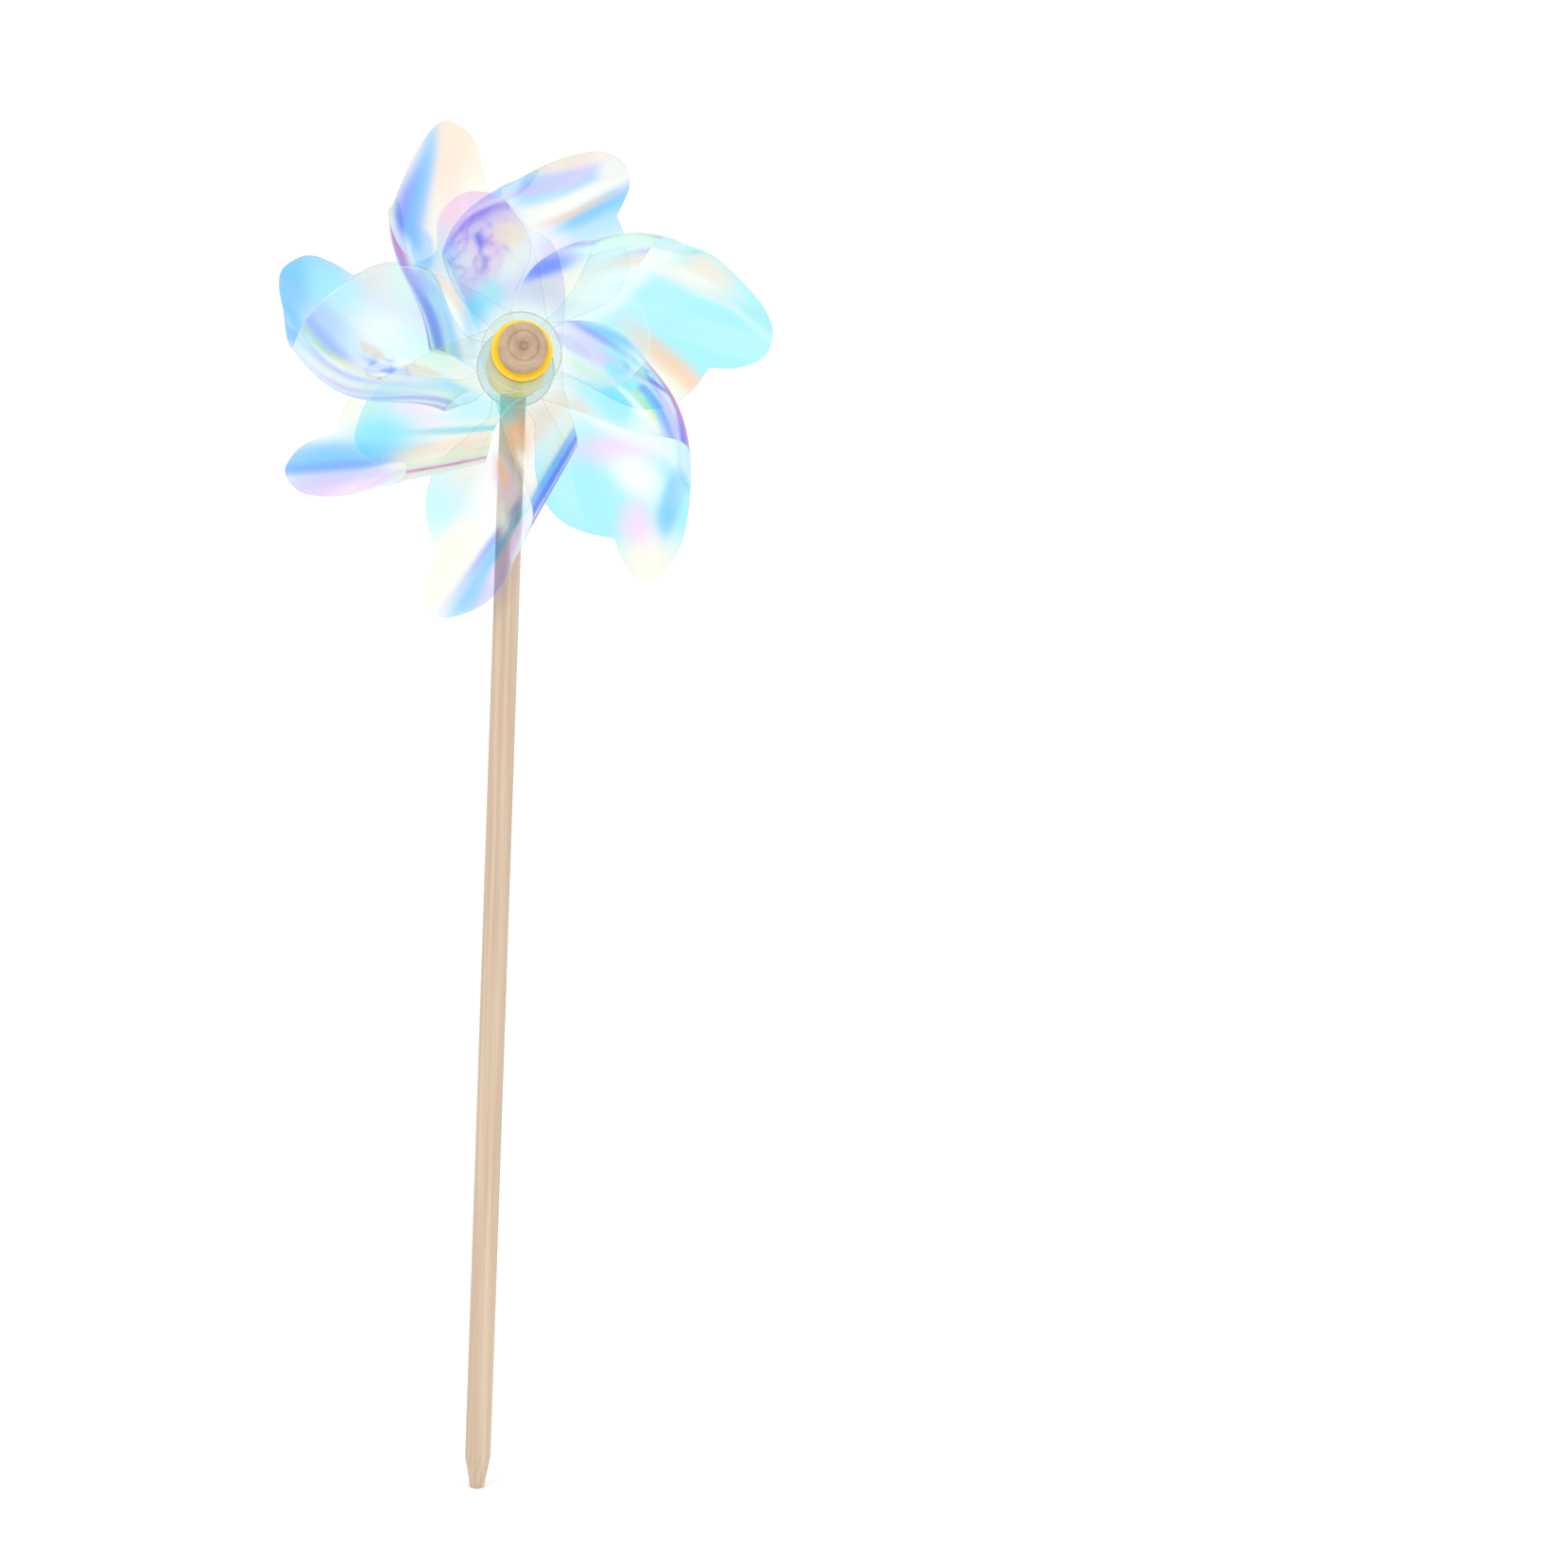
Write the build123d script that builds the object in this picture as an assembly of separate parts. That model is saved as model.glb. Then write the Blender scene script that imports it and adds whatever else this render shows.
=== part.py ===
"""Stick pinwheel: seven rolled film blades on a plastic hub that turns on a wooden peg.

Millimetres. +Z runs up the stick, the origin is the centre of the stick's lower tip, and the wheel
faces -Y. Angles of the wheel are measured anticlockwise from +X, as seen from the front.
"""
from build123d import *
import math
import os

# Stick
STICK_D = 9.5
STICK_TIP_D = 5.2
STICK_TIP_LENGTH = 11.0
STICK_HEIGHT = 426.0
STICK_TOP_ROUND = 1.2

# Wheel axis
AXLE_Z = 414.0
SHANK_D = 5.0
RUNNING_CLEARANCE = 0.05
AXIAL_PLAY = 0.2

# Peg head
HEAD_D = 17.0
HEAD_THICKNESS = 9.4
HEAD_ROUND = 1.6
HEAD_BACK_CHAMFER = 0.4
HEAD_NUB_D = 2.6
HEAD_GROOVE_D = 10.5
GROOVE_DEPTH = 0.35
GROOVE_HALF_WIDTH = 0.4
NUB_GROOVE_HALF_WIDTH = 0.5
PEG_TAIL = 1.6          # how far the shank stands out behind the stick
PEG_TAIL_CHAMFER = 0.6

# Hub
HUB_D = 21.6
SPIGOT_D = 14.0
COLLAR_THICKNESS = 3.0
COLLAR_ROUND = 1.2
SPIGOT_RECESS = 0.5
TUBE_LENGTH = 35.0
WASHER_D = 12.0
WASHER_THICKNESS = 2.0
WASHER_GAP = 0.05
GLUE_GAP = 0.01

# Film blades
BLADE_COUNT = 7
FILM = 0.15
FILM_PITCH = 0.17
TAB_R = 14.3
TAB_HOLE_R = 7.1
ROLL_ANGLE = -15.0    # from a blade's tip to the direction of its roll line
ARM_REACH = 15.0      # the sheet is square to the axle out to here
LEAN_BACK = 3.0       # degrees, of the sheet beyond the arm, along the roll line
LEAN_FORWARD = 5.0    # degrees, of the rear sheet towards its roll
ROLL_SHARE = 0.31     # share of a blade's reach taken by the width of its half oval roll
SHEET_START = -60.0   # u where the uncut sheets begin, beyond every lobe
ARM_NEAR = (4.0, 12.0)      # corners of the rear sheet's arm at its tab, in (v, u)
ARM_FAR = (0.0, -6.5)
ARM_WAIST = (20.0, 0.0)     # narrowest place of the arm's far edge
LOBE_ROOT = (27.0, -2.0)    # where the inner lobe leaves the arm

# Each blade, in (v, u) with v along its roll line from the axle and u square to it: angle of its tip,
# u of its roll, v where the near and the far edge of its front tail meet the roll, v where the near
# edges of the front and rear sheets pass HIP_SHARE of the reach, the tip of its inner lobe, and the
# edge of its outer lobe from the roll round to the notch between the lobes.
HIP_SHARE = 0.62
BLADES = [
    {
        "angle": 9.0, "reach": 51.5, "near": 27.0, "far": 50.0, "front_hip": 16.0, "rear_hip": 17.0,
        "inner": (60.0, -3.0),
        "outer": [
            (65.0, 50.2), (78.0, 45.5), (88.0, 38.0), (93.0, 29.0),
            (91.0, 20.0), (82.0, 14.5), (71.0, 12.5),
        ],
    },
    {
        "angle": 64.0, "reach": 48.5, "near": 18.0, "far": 42.0, "front_hip": 1.5, "rear_hip": 4.0,
        "inner": (57.0, -4.0),
        "outer": [
            (57.0, 43.8), (71.0, 39.0), (80.0, 33.0), (84.0, 24.5),
            (80.0, 16.5), (73.0, 13.5), (68.0, 12.0),
        ],
    },
    {
        "angle": 111.0, "reach": 42.5, "near": 30.0, "far": 50.0, "front_hip": 1.0, "rear_hip": 8.0,
        "inner": (56.0, -5.0),
        "outer": [
            (69.0, 36.5), (79.0, 31.5), (88.0, 25.0), (92.0, 17.0),
            (86.0, 9.5), (76.0, 7.0), (67.0, 6.0),
        ],
    },
    {
        "angle": 164.0, "reach": 44.5, "near": 28.0, "far": 54.0, "front_hip": 4.0, "rear_hip": 10.0,
        "inner": (57.0, -7.5),
        "outer": [
            (69.0, 38.5), (79.0, 31.5), (86.0, 24.0), (89.0, 15.0),
            (84.5, 7.5), (77.0, 5.0), (67.0, 4.5),
        ],
    },
    {
        "angle": 210.0, "reach": 33.5, "near": 20.0, "far": 52.0, "front_hip": 12.0, "rear_hip": 14.0,
        "inner": (59.0, -4.0),
        "outer": [
            (60.0, 32.6), (69.0, 32.5), (79.0, 31.0), (87.0, 27.0),
            (90.0, 19.5), (83.0, 12.0), (69.0, 9.5),
        ],
    },
    {
        "angle": 257.5, "reach": 33.5, "near": 18.0, "far": 53.0, "front_hip": 5.0, "rear_hip": 9.0,
        "inner": (63.0, -4.0),
        "outer": [
            (63.0, 32.7), (77.0, 32.3), (86.5, 28.5), (93.0, 20.5),
            (89.0, 12.5), (73.0, 9.5),
        ],
    },
    {
        "angle": 306.0, "reach": 50.0, "near": 20.0, "far": 52.0, "front_hip": -3.0, "rear_hip": 19.0,
        "inner": (58.0, -3.0),
        "outer": [
            (68.0, 45.0), (77.0, 39.5), (83.5, 34.0), (88.0, 27.5),
            (89.0, 21.0), (83.0, 16.0), (70.0, 14.5),
        ],
    },
]

# Stations along the axle, from the stick towards the front (-Y)
STACK = BLADE_COUNT * FILM_PITCH
WASHER_BACK = -(STICK_D / 2 + WASHER_GAP)
WASHER_FRONT = WASHER_BACK - WASHER_THICKNESS
REAR_COLLAR_BACK = WASHER_FRONT - AXIAL_PLAY / 2
REAR_STACK_BACK = REAR_COLLAR_BACK - COLLAR_THICKNESS
TUBE_BACK = REAR_STACK_BACK - STACK
TUBE_FRONT = TUBE_BACK - TUBE_LENGTH
FRONT_COLLAR_BACK = TUBE_FRONT - STACK
FRONT_COLLAR_FRONT = FRONT_COLLAR_BACK - COLLAR_THICKNESS
HEAD_BACK = FRONT_COLLAR_FRONT - AXIAL_PLAY
HEAD_FRONT = HEAD_BACK - HEAD_THICKNESS
BORE_R = SHANK_D / 2 + RUNNING_CLEARANCE
BIG = 200.0    # longer than any blade


def turned(points):
    """A solid turned about the wheel's axis from an outline of (radius, y) points."""
    outline = make_face(Polyline(*points, close=True))
    return Pos(0, 0, AXLE_Z) * revolve(outline, Axis.Y)


def ring(outer_r, inner_r, back, front):
    return turned([(inner_r, back), (outer_r, back), (outer_r, front), (inner_r, front)])


def make_stick():
    shaft_length = STICK_HEIGHT - STICK_TIP_LENGTH
    shaft = Pos(0, 0, STICK_TIP_LENGTH) * Cylinder(
        STICK_D / 2, shaft_length, align=(Align.CENTER, Align.CENTER, Align.MIN)
    )
    shaft = fillet(shaft.edges().sort_by(Axis.Z)[-1], STICK_TOP_ROUND)
    tip = Cone(
        STICK_TIP_D / 2, STICK_D / 2, STICK_TIP_LENGTH, align=(Align.CENTER, Align.CENTER, Align.MIN)
    )
    cross_hole = Pos(0, 0, AXLE_Z) * Rot(90, 0, 0) * Cylinder(SHANK_D / 2, 3 * STICK_D)
    return shaft + tip - cross_hole


def make_axle_peg():
    """Head with a shallow turned groove and a centre nub, and a shank that runs through the stick."""
    head_r = HEAD_D / 2
    shank_r = SHANK_D / 2
    tail = STICK_D / 2 + PEG_TAIL
    nub_r = HEAD_NUB_D / 2
    groove_r = HEAD_GROOVE_D / 2
    corner = 0.35 * HEAD_ROUND
    return turned([
        (0, tail),
        (shank_r - PEG_TAIL_CHAMFER, tail),
        (shank_r, tail - PEG_TAIL_CHAMFER),
        (shank_r, HEAD_BACK),
        (head_r - HEAD_BACK_CHAMFER, HEAD_BACK),
        (head_r, HEAD_BACK - HEAD_BACK_CHAMFER),
        (head_r, HEAD_FRONT + HEAD_ROUND),
        (head_r - corner, HEAD_FRONT + corner),
        (head_r - HEAD_ROUND, HEAD_FRONT),
        (groove_r + GROOVE_HALF_WIDTH, HEAD_FRONT),
        (groove_r, HEAD_FRONT + GROOVE_DEPTH),
        (groove_r - GROOVE_HALF_WIDTH, HEAD_FRONT),
        (nub_r + NUB_GROOVE_HALF_WIDTH, HEAD_FRONT),
        (nub_r, HEAD_FRONT + GROOVE_DEPTH),
        (nub_r - NUB_GROOVE_HALF_WIDTH, HEAD_FRONT),
        (0, HEAD_FRONT),
    ])


def make_hub_tube():
    spigot_back = REAR_COLLAR_BACK - SPIGOT_RECESS
    spigot_front = FRONT_COLLAR_FRONT + SPIGOT_RECESS
    return turned([
        (BORE_R, spigot_back),
        (SPIGOT_D / 2, spigot_back),
        (SPIGOT_D / 2, TUBE_BACK),
        (HUB_D / 2, TUBE_BACK),
        (HUB_D / 2, TUBE_FRONT),
        (SPIGOT_D / 2, TUBE_FRONT),
        (SPIGOT_D / 2, spigot_front),
        (BORE_R, spigot_front),
    ])


def make_collar(back):
    front = back - COLLAR_THICKNESS
    collar = ring(HUB_D / 2, SPIGOT_D / 2 + GLUE_GAP, back, front)
    outer_rims = collar.edges().filter_by(GeomType.CIRCLE).sort_by(lambda edge: edge.radius)[-2:]
    return fillet(outer_rims, COLLAR_ROUND)


def make_washer():
    return ring(WASHER_D / 2, SHANK_D / 2 + GLUE_GAP, WASHER_BACK, WASHER_FRONT)


def film_section(rear_y, front_y, reach):
    """Closed sections, in (y, u), of the rolled film on either side of the crest of its roll.

    The rear sheet is flat, then slopes to a half oval roll that ends in the flat front sheet.
    """
    half = FILM / 2
    roll_width = ROLL_SHARE * reach
    bend = reach - roll_width
    roll_start = rear_y - max(bend - ARM_REACH, 0.0) * math.tan(math.radians(LEAN_FORWARD))
    roll_depth = (roll_start - front_y) / 2
    centre = ((roll_start + front_y) / 2, bend)
    crest = Line((centre[0], reach - half), (centre[0], reach + half))
    rear_skins = [
        Polyline((roll_start + side, bend), (rear_y + side, ARM_REACH), (rear_y + side, SHEET_START))
        for side in (-half, half)
    ]
    front_skins = [
        Line((front_y + side, bend), (front_y + side, SHEET_START)) for side in (-half, half)
    ]
    rear_arcs = [
        EllipticalCenterArc(centre, roll_depth + side, roll_width + side, 0, arc_size=90)
        for side in (-half, half)
    ]
    front_arcs = [
        EllipticalCenterArc(centre, roll_depth + side, roll_width + side, 90, arc_size=90)
        for side in (-half, half)
    ]
    rear_end = Line((rear_y - half, SHEET_START), (rear_y + half, SHEET_START))
    front_end = Line((front_y - half, SHEET_START), (front_y + half, SHEET_START))
    rear = Curve() + [*rear_skins, *rear_arcs, rear_end, crest]
    front = Curve() + [*front_skins, *front_arcs, front_end, crest]
    return Plane.YZ * make_face(rear.edges()), Plane.YZ * make_face(front.edges())


def rear_outline(blade):
    """The rear sheet seen along the axle: an arm, the outer lobe, a notch and the inner lobe."""
    reach = blade["reach"]
    near = blade["near"]
    far = blade["far"]
    notch_v, notch_u = blade["outer"][-1]
    inner_v, inner_u = blade["inner"]
    free_edge = Spline((far, reach), *blade["outer"], tangents=[(1.0, -0.4), (-1.0, -0.2)])
    second_lobe = Spline(
        (notch_v, notch_u),
        (0.5 * (notch_v + inner_v) + 1.5, 0.5 * (notch_u + inner_u)),
        (inner_v, inner_u),
        (inner_v - 11.0, inner_u - 4.0),
        LOBE_ROOT,
    )
    near_edge = Spline(ARM_NEAR, (blade["rear_hip"], HIP_SHARE * reach), (near, reach))
    trailing = Polyline(LOBE_ROOT, ARM_WAIST, ARM_FAR, ARM_NEAR)
    return outline_face([free_edge, second_lobe, trailing, near_edge, roll_cap(blade)])


def front_outline(blade):
    """The front sheet seen along the axle: a band from the roll in to the front tab."""
    reach = blade["reach"]
    near = blade["near"]
    far = blade["far"]
    start = (-0.5 * TAB_R, 0.86 * TAB_R)
    end = (0.7 * TAB_R, -0.7 * TAB_R)
    near_edge = Spline(start, (blade["front_hip"], HIP_SHARE * reach), (near, reach))
    far_edge = Spline((far, reach), (0.7 * far, 0.6 * reach), end, tangents=[(-1.0, -0.4), (-0.7, -0.7)])
    return outline_face([near_edge, roll_cap(blade), far_edge, Line(end, start)])


def roll_cap(blade):
    """The strip of the outline that lets the film's outer skin pass over the crest of the roll."""
    near, far, reach = blade["near"], blade["far"], blade["reach"]
    over = reach + FILM
    return Polyline((near, reach), (near, over), (far, over), (far, reach))


def outline_face(curves):
    return make_face([edge for curve in curves for edge in curve.edges()]) + Circle(TAB_R)


def make_blade(blade, index):
    """One blade in the frame where its roll line is along +X, then turned to its place."""
    rear_y = TUBE_BACK + (index + 0.5) * FILM_PITCH
    front_y = FRONT_COLLAR_BACK + (index + 0.5) * FILM_PITCH
    rear_section, front_section = film_section(rear_y, front_y, blade["reach"])
    rolled = cut_sheet(rear_section, rear_outline(blade)) + cut_sheet(front_section, front_outline(blade))
    turn = blade["angle"] + ROLL_ANGLE
    return Pos(0, 0, AXLE_Z) * Rot(0, -turn, 0) * rolled


def cut_sheet(section, outline):
    """Film of a given section, leaning back beyond the arm, cut to an outline with its axle hole."""
    inner = extrude(Pos(-2 * TAB_R, 0, 0) * section, ARM_REACH + 2 * TAB_R, dir=(1, 0, 0))
    lean = math.radians(LEAN_BACK)
    outer = extrude(Pos(ARM_REACH, 0, 0) * section, BIG, dir=(math.cos(lean), math.sin(lean), 0))
    cutter = extrude(Plane.XZ * (outline - Circle(TAB_HOLE_R)), BIG, both=True)
    return (inner + outer) & cutter


def build_parts():
    parts = {
        "stick": make_stick(),
        "axle_peg": make_axle_peg(),
        "spacer_washer": make_washer(),
        "hub_tube": make_hub_tube(),
        "rear_collar": make_collar(REAR_COLLAR_BACK),
        "front_collar": make_collar(FRONT_COLLAR_BACK),
    }
    for index, blade in enumerate(BLADES):
        parts[f"blade_{index + 1}"] = make_blade(blade, index)
    return parts


if __name__ == "__main__":
    os.makedirs("parts", exist_ok=True)
    for node, shape in build_parts().items():
        export_step(shape, f"parts/{node}.step")
        print(node, len(shape.solids()), "solid", round(shape.volume, 1), "mm3")
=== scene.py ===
"""The stick pinwheel's visible model, built around its CAD frame.

Metres, in the frame of the CAD: +Z up the stick, origin at the stick's lower tip, wheel facing -Y.
Film blades are rebuilt as thin curled sheets. Sizes in the tables below are millimetres.
"""
import math

import bpy
import numpy as np
from mathutils import Matrix, Vector, geometry, kdtree, noise


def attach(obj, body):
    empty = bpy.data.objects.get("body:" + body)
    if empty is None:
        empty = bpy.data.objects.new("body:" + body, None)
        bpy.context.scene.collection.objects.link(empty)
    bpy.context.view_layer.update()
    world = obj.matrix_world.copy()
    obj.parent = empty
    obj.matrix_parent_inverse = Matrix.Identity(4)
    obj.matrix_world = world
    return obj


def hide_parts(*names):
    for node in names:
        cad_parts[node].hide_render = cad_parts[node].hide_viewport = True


MM = 0.001

# Wheel, as in the CAD: millimetres and degrees
AXLE_Z = 414.0
FILM_PITCH = 0.17           # from one stacked tab to the next
TAB_R = 14.3
TAB_HOLE_R = 7.1
ROLL_ANGLE = -15.0          # from a blade's tip to the direction of its roll line
ARM_REACH = 15.0            # the sheet is square to the axle out to here
LEAN_BACK = 3.0             # of the sheet beyond the arm, along the roll line
LEAN_FORWARD = 5.0          # of the rear sheet towards its roll
ROLL_SHARE = 0.31           # share of a blade's reach taken by the width of its half oval roll
HIP_SHARE = 0.62            # share of the reach at which the near edges have their hips
TUBE_BACK = -11.09          # y of the hub tube's rear shoulder
FRONT_COLLAR_BACK = -47.28  # y of the front collar's rear face

# Shape of the film beyond the CAD's
FALL_START = 12.0           # the crest's fall fades in from this distance from the axle
FALL_LENGTH = 20.0          # distance along the crest at which its fall is stated
FALL_LIMIT = 2.2            # the fall levels off at this many times its stated value
FLATTEN_BEFORE = 3.0        # the curl starts to fade out this far before the roll's far end
FLATTEN_LENGTH = 30.0       # and is gone this far beyond it
INNER_BULGE = 1.5           # how far the edge bulges between the notch and the inner lobe's tip
FILM_SKIN = 0.10            # thickness shown, so that stacked tabs stay apart

# Meshing of the film
GRID = 1.3                  # spacing of the points inside a sheet
EDGE_STEP = 0.9             # spacing of the points along a cut edge
EDGE_BAND = 0.45            # width of the bright line along a cut edge
HOLE_POINTS = 44
ARC_POINTS = 24
SEARCH_STEPS = 40           # halvings when looking for the w that is seen at a given u
SEARCH_MARGIN = 60.0        # how far beyond the roll the search starts

# Camera
LENS = 56.44
SENSOR = 36.0
CAMERA_PLACE = (-0.0472, -0.9188, 0.2646)
CAMERA_YAW = 9.521
CAMERA_ROLL = -1.91

# Each blade, seen along the axle, with v along the roll line from the axle and u square to it: angle
# of its tip, reach of its roll, v where the near and far edges meet the roll, v where the near edges
# of the front and rear sheets pass the hip, v of the middle of the roll's crest, how far the crest has
# dropped FALL_LENGTH to either side of it, the tip of the inner lobe, the far edge of the front sheet
# from its tab up to the roll, and the outer lobe's edge from the roll round to the notch between the
# lobes.
BLADES = [
    dict(angle=9.0, reach=53.0, near=20.0, far=52.0, front_hip=-1.0, rear_hip=15.0,
         middle=42.0, near_fall=6.0, far_fall=3.0, inner=(60.0, -3.0),
         tail=[(39.0, -3.0), (45.0, 9.0), (41.0, 21.0), (34.0, 30.0), (38.0, 40.0)],
         outer=[(65.0, 52.0), (78.0, 46.0), (88.0, 38.0), (93.0, 29.0), (91.0, 20.0), (82.0, 14.5),
                (71.0, 12.5)]),
    dict(angle=64.0, reach=49.5, near=9.0, far=46.0, front_hip=0.0, rear_hip=4.0,
         middle=24.0, near_fall=7.0, far_fall=4.0, inner=(57.0, -4.0),
         tail=[(30.0, 8.0), (36.0, 19.0), (34.0, 30.0)],
         outer=[(57.0, 43.5), (71.0, 39.0), (80.0, 33.0), (84.0, 24.5), (80.0, 16.5), (73.0, 13.5),
                (68.0, 12.0)]),
    dict(angle=111.0, reach=42.5, near=5.0, far=54.0, front_hip=-3.5, rear_hip=5.0,
         middle=50.0, near_fall=5.0, far_fall=4.0, inner=(56.0, -5.0),
         tail=[(36.0, -7.0), (48.0, -4.0), (56.0, 5.0), (57.0, 16.0), (50.0, 25.0), (36.0, 28.0),
               (34.0, 33.0)],
         outer=[(61.0, 40.0), (69.0, 36.5), (79.0, 31.5), (88.0, 25.0), (92.0, 17.0), (86.0, 9.5),
                (76.0, 7.0), (67.0, 6.0)]),
    dict(angle=164.0, reach=45.5, near=12.0, far=69.0, front_hip=2.0, rear_hip=6.0,
         middle=50.0, near_fall=7.5, far_fall=5.0, inner=(57.0, -8.5),
         tail=[(36.0, -7.0), (49.0, -3.0), (60.0, 8.0), (66.0, 20.0), (68.0, 33.0)],
         outer=[(79.0, 31.5), (86.0, 24.0), (89.0, 15.0), (84.5, 7.5), (77.0, 5.0), (67.0, 4.5)]),
    dict(angle=210.0, reach=33.5, near=20.0, far=52.0, front_hip=12.0, rear_hip=14.0,
         middle=36.0, near_fall=0.5, far_fall=0.0, inner=(59.0, -3.0),
         tail=[(36.0, -5.0), (49.0, 0.0), (60.0, 10.0), (64.0, 20.0), (58.0, 27.5), (49.0, 29.0)],
         outer=[(60.0, 32.5), (69.0, 32.5), (79.0, 31.0), (87.0, 27.0), (90.0, 19.5), (83.0, 12.0),
                (69.0, 9.5)]),
    dict(angle=257.5, reach=33.5, near=17.0, far=53.0, front_hip=5.0, rear_hip=9.0,
         middle=34.0, near_fall=0.0, far_fall=0.0, inner=(61.0, -3.0),
         tail=[(22.0, 3.0), (37.0, 20.0)],
         outer=[(61.0, 34.0), (68.0, 35.0), (77.0, 34.0), (86.5, 29.0), (93.0, 20.5), (89.0, 12.5),
                (73.0, 9.5)]),
    dict(angle=306.0, reach=50.0, near=13.0, far=55.0, front_hip=-3.0, rear_hip=15.0,
         middle=38.0, near_fall=5.0, far_fall=4.0, inner=(58.0, -2.0),
         tail=[(24.0, 10.0), (39.0, 30.0)],
         outer=[(63.0, 45.5), (70.0, 43.0), (77.0, 39.5), (83.5, 34.0), (88.0, 27.5), (89.0, 21.0),
                (83.0, 16.0), (70.0, 14.5)]),
]

# Studio
WORLD_STRENGTH = 1.07
KEY_POWER = 6.0
FILL_POWER = 2.0
FLOOR_SIZE = 40.0

# Film
SKINS_SEEN = 96             # film skins that one ray may pass through
BODY_COVER = 0.05           # share of each skin that reflects instead of letting light through
TAB_COVER = 0.015           # the same at the stacked tabs round the hub
TAB_FADE = (13.0, 20.0)     # distances from a tab's centre over which one turns into the other
GLOSS_SHARE = 0.5           # share of the mirror reflection that is added to the cover
RIM_COVER = 0.35            # further cover of the bright line along a cut edge
SHIMMER_SHARE = 0.12        # share of the drifting rainbow in the film's colour
TAB_SHIMMER_SHARE = 0.03    # the same at the tabs

# Film colours, linear
COLOURS = {
    "white": (0.986, 0.993, 0.986),
    "cream": (1.0, 0.93, 0.80),
    "peach": (1.0, 0.79, 0.62),
    "orange": (1.0, 0.60, 0.34),
    "yellow": (1.0, 0.97, 0.42),
    "lime": (0.66, 0.96, 0.48),
    "pink": (0.95, 0.66, 0.93),
    "magenta": (0.84, 0.24, 0.58),
    "lilac": (0.64, 0.56, 1.0),
    "pale lilac": (0.83, 0.80, 1.0),
    "violet": (0.28, 0.20, 0.95),
    "blue": (0.12, 0.28, 0.97),
    "azure": (0.15, 0.54, 1.0),
    "sky": (0.45, 0.74, 1.0),
    "aqua": (0.43, 0.89, 1.0),
    "teal": (0.20, 0.73, 0.80),
    "mint": (0.76, 0.98, 0.87),
}

GROUND_WEIGHT = 0.35
BLEND_OVER = 4.0            # half width of the blend of the two ground colours at the crest
REAR_CLEAR = (20.0, 40.0)   # the rear sheet is nearly clear up to the first distance from its tab
FRONT_CLEAR = (13.0, 24.0)  # the same for the front sheet
CLEARNESS = 0.9             # how clear the film gets there
HIDDEN_CLEARNESS = 0.8      # share of it for the rear sheet behind its own front sheet

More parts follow.
